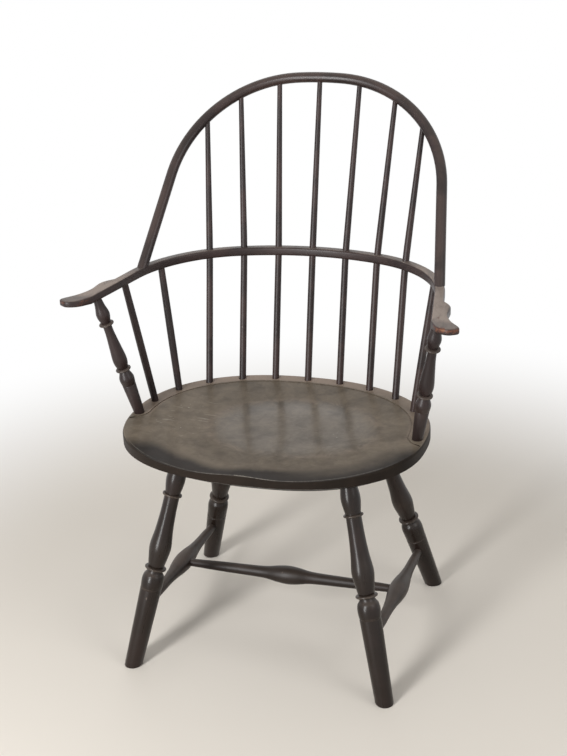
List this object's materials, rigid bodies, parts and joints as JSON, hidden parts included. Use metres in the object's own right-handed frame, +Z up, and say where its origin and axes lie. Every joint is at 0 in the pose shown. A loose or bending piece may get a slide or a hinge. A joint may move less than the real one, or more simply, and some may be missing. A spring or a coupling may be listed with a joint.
{
  "type": "windsor armchair",
  "caption": "Sack-back windsor armchair: a saddled plank seat on splayed turned legs with stretchers, a bent arm rail with carved hands and a bow with spindles.",
  "frame": {"origin": "centre of the chair's bounding box, on the floor under the feet", "axes": "+Z up, -Y the way the chair faces, +X towards the right of someone who looks at its front"},
  "size_m": [0.6916, 0.5539, 0.9837],
  "materials": {
    "painted_wood": "worn satin paint, near black brown"
  },
  "bodies": {
    "root": {"seat": "painted_wood", "leg_front_left": "painted_wood", "leg_front_right": "painted_wood", "leg_rear_left": "painted_wood", "leg_rear_right": "painted_wood", "side_stretcher_left": "painted_wood", "side_stretcher_right": "painted_wood", "cross_stretcher": "painted_wood", "arm_rail": "painted_wood", "arm_hand_left": "painted_wood", "arm_hand_right": "painted_wood", "arm_post_left": "painted_wood", "arm_post_right": "painted_wood", "bow": "painted_wood", "bow_wedges": "painted_wood", "long_spindle_1": "painted_wood", "long_spindle_2": "painted_wood", "long_spindle_3": "painted_wood", "long_spindle_4": "painted_wood", "long_spindle_5": "painted_wood", "long_spindle_6": "painted_wood", "long_spindle_7": "painted_wood", "short_spindle_rear_left": "painted_wood", "short_spindle_rear_right": "painted_wood", "short_spindle_front_left": "painted_wood", "short_spindle_front_right": "painted_wood"}
  },
  "joints": []
}
